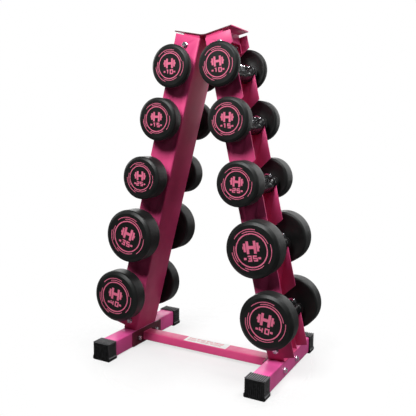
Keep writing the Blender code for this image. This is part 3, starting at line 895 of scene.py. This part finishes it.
def make_saddle(pounds, name, side, looks):
    """Moulded cradle: a rim outside each flange, a horn over its edge and a low waist between."""
    face = DEPTH / 2 + GAP
    rim = saddle_outline(RIM_LIP, HORN_END, RIM_SIDE)
    horn = saddle_outline(0.0, HORN_END, HORN_SIDE)
    waist = saddle_outline(0.0, WAIST_END, WAIST_SIDE)
    half = [(rim, face + RIM_THICK), (rim, face), (horn, face), (horn, face - HORN_LENGTH)]
    for i in range(1, HORN_STEPS + 1):
        share = (1 - math.cos(math.pi * i / HORN_STEPS)) / 2
        between = [tuple(a + (b - a) * share for a, b in zip(one, two)) for one, two in zip(horn, waist)]
        half.append((between, face - HORN_LENGTH - HORN_SLOPE * i / HORN_STEPS))
    spans = [(line, -y) for line, y in half] + half[::-1]
    up = handle_up(pounds, name)
    rings = [[(side * out, y, up + rise) for out, rise in line] for line, y in spans]
    saddle = skinned(f"cradle_{pounds}_{name}", rings)
    soften(saddle, 0.8 * MM, segments=3, angle=40.0)
    dress(saddle, looks["saddle"], place=upright_frame(side),
          replaces=[f"saddle_{pounds}_{name}"], smooth=50)


# Fasteners --------------------

def hex_radius(turn, flat):
    """Distance from the middle of a hexagon to its edge in a given direction."""
    within = (turn % (math.pi / 3)) - math.pi / 6
    return flat / math.cos(within)


def bolt_sections(grip):
    """(kind, size, place along the axis, chamfer direction) from thread end to the top of the head."""
    washer_top = GAP + WASHER_THICK
    nut_near = -grip - GAP
    nut_far = nut_near - NUT_HEIGHT
    head_top = washer_top + HEAD_HEIGHT
    rings = [("round", SHANK * 0.72, nut_far - THREAD_END, 0)]
    count = int(THREAD_END / (THREAD_PITCH / 2))
    for i in range(count + 1):
        sunk = THREAD_DEPTH if i % 2 else 0.0
        rings.append(("round", SHANK - sunk, nut_far - THREAD_END * (0.8 - 0.8 * i / count), 0))
    inner = HEX_FLAT * HEX_CHAMFER
    rim = WASHER - WASHER_EDGE
    rings += [("round", inner, nut_far, 0), ("hex", HEX_FLAT, nut_far, 1)]
    rings += [("hex", HEX_FLAT, nut_near, -1), ("round", inner, nut_near, 0)]
    rings += [("round", SHANK, nut_near, 0), ("round", SHANK, GAP, 0)]
    rings += [("round", rim, GAP, 0), ("round", WASHER, GAP + WASHER_EDGE, 0)]
    rings += [("round", WASHER, washer_top - WASHER_EDGE, 0), ("round", rim, washer_top, 0)]
    rings += [("hex", HEX_FLAT, washer_top, 0), ("hex", HEX_FLAT, head_top, -1)]
    rings += [("round", inner, head_top, 0), ("round", HEX_FLAT * 0.62, head_top - 0.25 * MM, 0)]
    return rings


def make_bolt(node, seat, outward, grip, looks):
    """Hex bolt with washer and nut round the sheets that they clamp."""
    def section(kind, size, along, chamfer):
        def shape(turn):
            radius = hex_radius(turn, size) if kind == "hex" else size
            return radius, along + chamfer * (radius - size * HEX_CHAMFER) * HEX_SLOPE
        return shape

    rings = [ring_about(seat, outward, 48, section(*one)) for one in bolt_sections(grip)]
    dress(skinned(f"hex_{node}", rings), looks["zinc"], replaces=[node], smooth=28)


def make_bolts(name, side, looks):
    """Two bolts through a foot and its plate, two at the top, one long one through the foot bracket."""
    place = upright_frame(side)
    top, foot = [place @ Vector((side * out, 0, up)) for out, up in (BOLT_TOP, BOLT_FOOT)]
    for end, sign in ENDS.items():
        seat = (side * (FOOT_X + TUBE / 2), sign * BASE_BOLT_Y, BASE_BOLT_Z)
        make_bolt(f"base_bolt_{end}_{name}", seat, (side, 0, 0), TUBE + GAP + PLATE_THICK, looks)
        seat = (top.x, sign * DEPTH / 2, top.z)
        make_bolt(f"top_bolt_{end}_{name}", seat, (0, sign, 0), 2 * STEEL + GAP, looks)
    make_bolt(f"foot_bolt_{name}", (foot.x, -DEPTH / 2, foot.z), (0, -1, 0), DEPTH, looks)


# Dumbbells --------------------

def front_rim(radius, thick):
    """Points of the rim from a head's side to its face: round shoulder, chamfer, tight edge."""
    scale = radius / LARGE_RIM
    slope = math.radians(RIM_SLOPE)
    shoulder = RIM_SHOULDER * scale
    tight = RIM_EDGE
    flat = RIM_CHAMFER * scale
    deep = shoulder * math.sin(slope) + flat * math.cos(slope) + tight * (1 - math.sin(slope))
    wide = shoulder * (1 - math.cos(slope)) + flat * math.sin(slope) + tight * math.cos(slope)
    points = arc((radius - shoulder, thick - deep), shoulder, 0, RIM_SLOPE, 10)
    return points + arc((radius - wide, thick - tight), tight, RIM_SLOPE, 90, 6)


def head_profile(radius, thick):
    """Section of a head from the bottom of its bore, over both rims, to its printed face."""
    bore = SPIGOT + GAP
    back = HEAD_BACK_ROUND
    profile = [(bore, SPIGOT_LENGTH + GAP), (bore, 0.0), (COLLAR + 4 * MM, 0.0)]
    profile += [(COLLAR + 5 * MM, BACK_STEP), (radius * 0.80, BACK_STEP), (radius * 0.82, 0.0)]
    profile += arc((radius - back, back), back, -90, 0, 9)
    return profile + front_rim(radius, thick)


def knurl(turn, along):
    """Height from 0 to 1 of a diamond knurl; turn is in full turns and along in diamonds."""
    first = (turn + along) % 1.0
    second = (turn - along) % 1.0
    return min(1 - abs(2 * first - 1), 1 - abs(2 * second - 1))


def handle_rings(gap):
    """Rings of a handle from end to end: spigot, turned collar, polished and ringed end, knurled middle."""
    face = gap / 2 - GAP
    half = [(SPIGOT, face + SPIGOT_LENGTH), (SPIGOT, face)]
    half += [(radius * MM, face - inwards * MM) for radius, inwards in COLLAR_SHAPE]
    for groove in RING_GROOVES:
        for place in (groove + 2.2 * MM, groove - 0.8 * MM):
            for sunk, half_width in ((0.0, 0.9), (GROOVE_DEPTH, 0.6), (GROOVE_DEPTH, -0.6), (0.0, -0.9)):
                half.append((GRIP - sunk, place + half_width * MM))
    count = KNURL_DIAMONDS * KNURL_STEPS
    reach = RING_GROOVES[-1] - 2.2 * MM
    steps = int(2 * reach / KNURL_PITCH * KNURL_STEPS)
    sunk, tall = KNURL
    rings = [[(radius, -along)] * count for radius, along in half]
    for k in range(steps + 1):
        along = -reach + 2 * reach * k / steps
        heights = [knurl(i / KNURL_STEPS, (along + reach) / KNURL_PITCH) for i in range(count)]
        rings.append([(GRIP - sunk + tall * height, along) for height in heights])
    rings += [[(radius, along)] * count for radius, along in reversed(half)]
    made = []
    for ring in rings:
        points = []
        for i, (radius, along) in enumerate(ring):
            turn = 2.0 * math.pi * i / count
            points.append((radius * math.cos(turn), along, radius * math.sin(turn)))
        made.append(points)
    return made


def stroke(bm, path, width, lay, closed=False):
    """A printed line of constant width; lay puts (x, y, lift) on the face of a head."""
    points = [Vector(point) for point in path]
    count = len(points)
    rings = []
    for i, point in enumerate(points):
        headings = []
        if closed or i > 0:
            headings.append((point - points[i - 1]).normalized())
        if closed or i < count - 1:
            headings.append((points[(i + 1) % count] - point).normalized())
        across = [Vector((-heading.y, heading.x)) for heading in headings]
        mitre = sum(across, Vector((0.0, 0.0))).normalized()
        reach = width / 2 / mitre.dot(across[0])
        corners = [(1, -INK_THICK), (-1, -INK_THICK), (-1, INK_THICK), (1, INK_THICK)]
        rings.append([lay(*(point + mitre * reach * sign), lift) for sign, lift in corners])
    loft(bm, rings, closed)


# Blocky figures as strokes in a box from (0, 0) to (1, 1)
FIGURES = {
    "0": [[(0, 0), (1, 0), (1, 1), (0, 1)]],
    "1": [[(0.15, 1), (0.6, 1), (0.6, 0)]],
    "2": [[(0, 1), (1, 1), (1, 0.5), (0, 0.5), (0, 0), (1, 0)]],
    "3": [[(0, 1), (1, 1), (1, 0), (0, 0)], [(0.25, 0.5), (0.86, 0.5)]],
    "4": [[(0, 1), (0, 0.42), (0.66, 0.42)], [(0.8, 1), (0.8, 0)]],
    "5": [[(1, 1), (0, 1), (0, 0.5), (1, 0.5), (1, 0), (0, 0)]],
}


def print_figures(bm, text, ring, lay):
    """The weight in pounds, with a short bar on each side."""
    tall = 0.28 * ring
    wide = 0.22 * ring
    pitch = 0.37 * ring
    pen = 0.085 * ring
    base = -0.61 * ring
    start = -(pitch * (len(text) - 1) + wide) / 2
    for i, figure in enumerate(text):
        for path in FIGURES[figure]:
            spots = [(start + i * pitch + x * wide, base + y * tall) for x, y in path]
            stroke(bm, spots, pen, lay, closed=figure == "0")
    for sign in (-1, 1):
        ends = [(sign * 0.38 * ring, base + tall / 2), (sign * 0.55 * ring, base + tall / 2)]
        stroke(bm, ends, 0.13 * ring, lay)


def print_motif(bm, ring, lay):
    """A plain dumbbell sign."""
    middle = 0.19 * ring
    for sign in (-1, 1):
        for out, tall, pen in ((0.235, 0.76, 0.17), (0.425, 0.52, 0.15), (0.535, 0.16, 0.05)):
            x = sign * out * ring
            stroke(bm, [(x, middle - tall / 2 * ring), (x, middle + tall / 2 * ring)], pen * ring, lay)
    reach = (0.235 - 0.17 / 2) * ring
    stroke(bm, [(-reach, middle), (reach, middle)], 0.19 * ring, lay)


def print_face(name, centre, sign, ring, roll, text, looks, body):
    """Ring, broken outer arcs, sign and figures on the outer face of a head."""
    turn = math.radians(roll)

    def lay(x, y, lift):
        across = x * math.cos(turn) - y * math.sin(turn)
        rise = x * math.sin(turn) + y * math.cos(turn)
        return centre.x - sign * across, centre.y + sign * lift, centre.z + rise

    bm = bmesh.new()
    circle = arc((0, 0), ring, 0, 360, 97)[:-1]
    stroke(bm, circle, 0.072 * ring, lay, closed=True)
    arcs = [(1.14, 17, 115), (1.14, 163, 214), (1.14, 241, 306)]
    arcs += [(1.27, 72, 143), (1.27, -40, 14), (1.27, 181, 253)]
    for share, start, end in arcs:
        path = arc((0, 0), share * ring, start, end, 2 + abs(end - start) // 4)
        stroke(bm, path, 0.042 * ring, lay)
    print_motif(bm, ring, lay)
    print_figures(bm, text, ring, lay)
    dress(new_object(name, bm), looks["ink"], body=body)


def make_dumbbell(pounds, name, looks):
    body = f"dumbbell_{pounds}_{name}"
    centre = handle_centre(pounds, name)
    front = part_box(f"head_front_{pounds}_{name}")
    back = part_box(f"head_back_{pounds}_{name}")
    middle = (front[1].y + back[0].y) / 2
    gap = back[0].y - front[1].y
    radius = (front[1].z - front[0].z) / 2
    thick = front[1].y - front[0].y
    ring = LARGE_RING if radius > LARGE_HEAD else SMALL_RING
    grip = skinned(f"grip_{pounds}_{name}", handle_rings(gap))
    place = Matrix.Translation((centre.x, middle, centre.z))
    dress(grip, looks["chrome"], body, place, [f"handle_{pounds}_{name}"], smooth=34)
    for end, sign in ENDS.items():
        hub = Vector((centre.x, middle + sign * gap / 2, centre.z))
        rings = turned_rings(head_profile(radius, thick), HEAD_SEGMENTS, hub, (0, sign, 0))
        head = skinned(f"weight_{end}_{pounds}_{name}", rings)
        dress(head, looks["rubber"], body, None, [f"head_{end}_{pounds}_{name}"], smooth=45)
        face = Vector((centre.x, middle + sign * (gap / 2 + thick), centre.z))
        roll = ROLLS[name][pounds] * (1 if end == "front" else -1)
        print_face(f"print_{end}_{pounds}_{name}", face, sign, ring, roll, str(pounds), looks, body)


# Stage --------------------

def floor_look():
    """Pale floor that fades into the white surround, with a glow that only the camera sees."""
    made, tree, shader = new_look("pale_floor", specular=0.2)
    mottled = remap(tree, noise(tree, 5.0, 4.0), 0.3, 0.7)
    colour = tint(tree, mottled, (0.32, 0.32, 0.32), (0.36, 0.36, 0.36))
    wire(tree, shader, colour, remap(tree, mottled, 0.0, 1.0, 0.62, 0.72),
         bump(tree, noise(tree, 220.0, 2.0), 0.05, 0.2 * MM))
    path = tree.nodes.new("ShaderNodeLightPath")
    shader.inputs["Emission Color"].default_value = (1.0, 1.0, 1.0, 1.0)
    glow = maths(tree, "MULTIPLY", path.outputs["Is Camera Ray"], FLOOR_GLOW)
    tree.links.new(glow, shader.inputs["Emission Strength"])
    place = add_node(tree, "ShaderNodeTexCoord").outputs["Object"]
    length = tree.nodes.new("ShaderNodeVectorMath")
    length.operation = "LENGTH"
    tree.links.new(place, length.inputs[0])
    fade = remap(tree, length.outputs["Value"], *FLOOR_FADE)
    clear = tree.nodes.new("ShaderNodeBsdfTransparent").outputs["BSDF"]
    mixed = mix_shaders(tree, fade, shader.outputs["BSDF"], clear)
    tree.links.new(mixed, tree.nodes["Material Output"].inputs["Surface"])
    return made


def add_light(name, heading, rise, size, power):
    """A softbox; heading 0 is in front of the rack, and 90 on its +X side."""
    turn, lift = math.radians(heading), math.radians(rise)
    away = Vector((math.sin(turn) * math.cos(lift), -math.cos(turn) * math.cos(lift), math.sin(lift)))
    data = bpy.data.lights.new(name, "AREA")
    data.shape = "SQUARE"
    data.size = size
    data.energy = power
    item = bpy.data.objects.new(name, data)
    bpy.context.scene.collection.objects.link(item)
    item.location = Vector(LIGHT_TARGET) + away * LIGHT_DISTANCE
    item.rotation_euler = (-away).to_track_quat("-Z", "Y").to_euler()


def make_stage():
    profile = [(FLOOR_RADIUS, -FLOOR_THICK), (FLOOR_RADIUS, 0.0)]
    floor = skinned("floor", turned_rings(profile, 96, (0, 0, 0), (0, 0, 1)))
    floor.data.materials.append(floor_look())
    for name, heading, rise, size, power in LIGHTS:
        add_light(name, heading, rise, size, power)
    world = bpy.data.worlds.new("surround")
    world.use_nodes = True
    tree = world.node_tree
    ambient = tree.nodes["Background"]
    ambient.inputs["Color"].default_value = (1.0, 1.0, 1.0, 1.0)
    ambient.inputs["Strength"].default_value = AMBIENT
    path = tree.nodes.new("ShaderNodeLightPath")
    result = ambient.outputs["Background"]
    for rays, strength in (("Is Glossy Ray", SHINE), ("Is Camera Ray", 1.0)):
        seen = add_node(tree, "ShaderNodeBackground", Strength=strength, Color=(1.0, 1.0, 1.0, 1.0))
        result = mix_shaders(tree, path.outputs[rays], result, seen.outputs["Background"])
    tree.links.new(result, tree.nodes["World Output"].inputs["Surface"])
    bpy.context.scene.world = world
    bpy.context.scene.view_settings.view_transform = "Standard"


def make_camera():
    data = bpy.data.cameras.new("camera")
    data.lens = CAMERA_LENS
    item = bpy.data.objects.new("camera", data)
    bpy.context.scene.collection.objects.link(item)
    aim = Matrix.Rotation(CAMERA_HEADING, 4, "Z") @ Matrix.Rotation(math.pi / 2 - CAMERA_TILT, 4, "X")
    item.matrix_world = Matrix.Translation(CAMERA_PLACE) @ aim @ Matrix.Rotation(CAMERA_ROLL, 4, "Z")
    bpy.context.scene.camera = item


def build():
    looks = {
        "paint": powder_coat("pink_powder_coat", (0.74, 0.058, 0.215), (0.82, 0.076, 0.250),
                             (0.90, 0.16, 0.36), (0.93, 0.33, 0.48)),
        # lighter, bluer copy of the pink coat for the feet: painted light
        "lit_foot_paint": powder_coat("foot_coat_painted_light", (0.88, 0.085, 0.360), (0.94, 0.108, 0.410),
                                  (0.97, 0.26, 0.56), (0.97, 0.42, 0.64)),
        # dark maroon copy of the pink coat: painted shade on the end plates and on the roof's edges
        "shaded_plate_paint": powder_coat("plate_coat_painted_shade", (0.085, 0.008, 0.020), (0.120, 0.012, 0.030),
                                   (0.22, 0.03, 0.06), (0.34, 0.10, 0.14)),
        "rubber": rubber(),
        "cap": moulded_plastic("cap_plastic", (0.0025, 0.0025, 0.0028), (0.0045, 0.0045, 0.005), 0.46,
                               1300.0, 0.9, 0.22),
        "saddle": moulded_plastic("saddle_plastic", (0.004, 0.004, 0.0045), (0.008, 0.008, 0.009), 0.30,
                                  1700.0, 0.06, 0.45),
        "chrome": plated_metal("chrome", ((0.80, 0.81, 0.83), (0.74, 0.75, 0.78)), (0.10, 0.24), 0.05),
        "zinc": plated_metal("zinc", ((0.84, 0.86, 0.90), (0.66, 0.67, 0.70)), (0.18, 0.34), 0.18),
        "ink": printed_ink(),
        "film": vinyl("white_film", (0.78, 0.78, 0.77), (0.86, 0.86, 0.85)),
        "bars": vinyl("red_bars", (0.62, 0.08, 0.12), (0.70, 0.11, 0.15)),
    }
    make_crossbar(looks)
    make_top_bracket(looks)
    for name, side in SIDES.items():
        make_foot(name, side, looks)
        make_upright(name, side, looks)
        make_bolts(name, side, looks)
        for end in ENDS:
            make_cap(end, name, looks)
        for pounds in POUNDS:
            make_saddle(pounds, name, side, looks)
            make_dumbbell(pounds, name, looks)
    make_stage()
    make_camera()


build()
